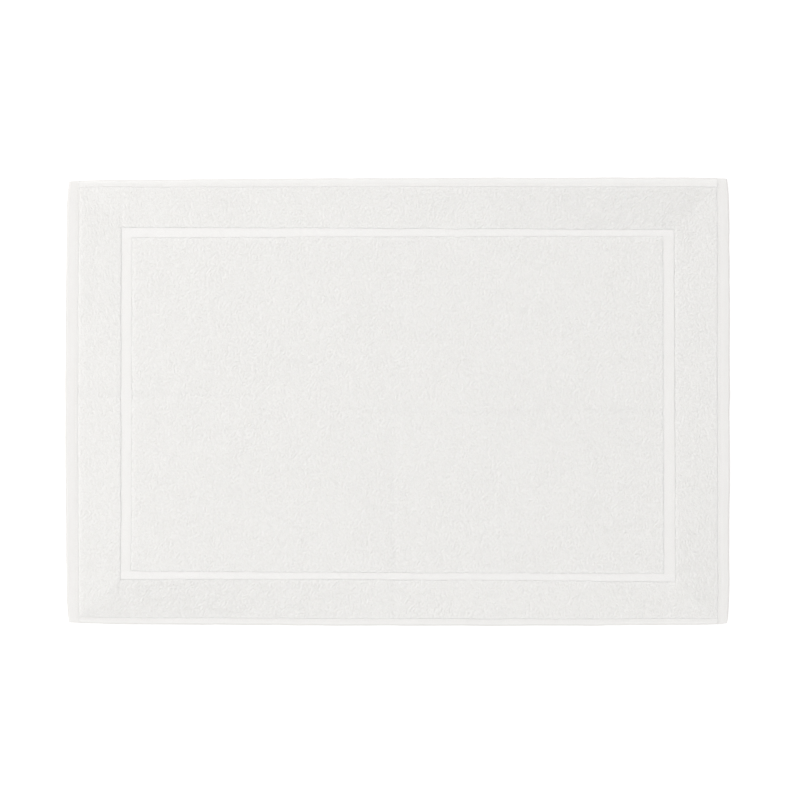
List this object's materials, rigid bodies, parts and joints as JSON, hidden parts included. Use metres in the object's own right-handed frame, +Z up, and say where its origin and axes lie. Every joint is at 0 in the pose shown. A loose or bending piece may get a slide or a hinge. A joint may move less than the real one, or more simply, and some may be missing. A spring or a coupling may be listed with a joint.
{
  "type": "bath mat",
  "caption": "Rectangular white terry cotton bath mat with loop pile on both faces, a flat-woven inset frame and double-turned stitched hems.",
  "frame": {"origin": "middle of the mat's underside, on the surface that it lies on", "axes": "+X along the long side towards the right hem, +Y along the short side towards the far hem, +Z up out of the face"},
  "size_m": [0.75, 0.506, 0.0078],
  "materials": {
    "terry_pile": "matt looped cotton pile, off-white",
    "ground_weave": "plain-woven cotton ground, off-white",
    "flat_frame_weave": "flat-woven ribbed cotton band, off-white",
    "hem_weave": "flat-woven cotton margin, turned and stitched, off-white",
    "sewing_thread": "twisted sewing thread, slight lustre, off-white"
  },
  "bodies": {
    "root": {"ground_cloth": "ground_weave", "face_pile_centre": "terry_pile", "face_pile_border": "terry_pile", "back_pile_centre": "terry_pile", "back_pile_border": "terry_pile", "woven_frame_face": "flat_frame_weave", "woven_frame_back": "flat_frame_weave", "hem_left": "hem_weave", "hem_right": "hem_weave", "hem_near": "hem_weave", "hem_far": "hem_weave", "needle_thread_left": "sewing_thread", "needle_thread_right": "sewing_thread", "needle_thread_near": "sewing_thread", "needle_thread_far": "sewing_thread", "bobbin_thread_left": "sewing_thread", "bobbin_thread_right": "sewing_thread", "bobbin_thread_near": "sewing_thread", "bobbin_thread_far": "sewing_thread"}
  },
  "joints": []
}
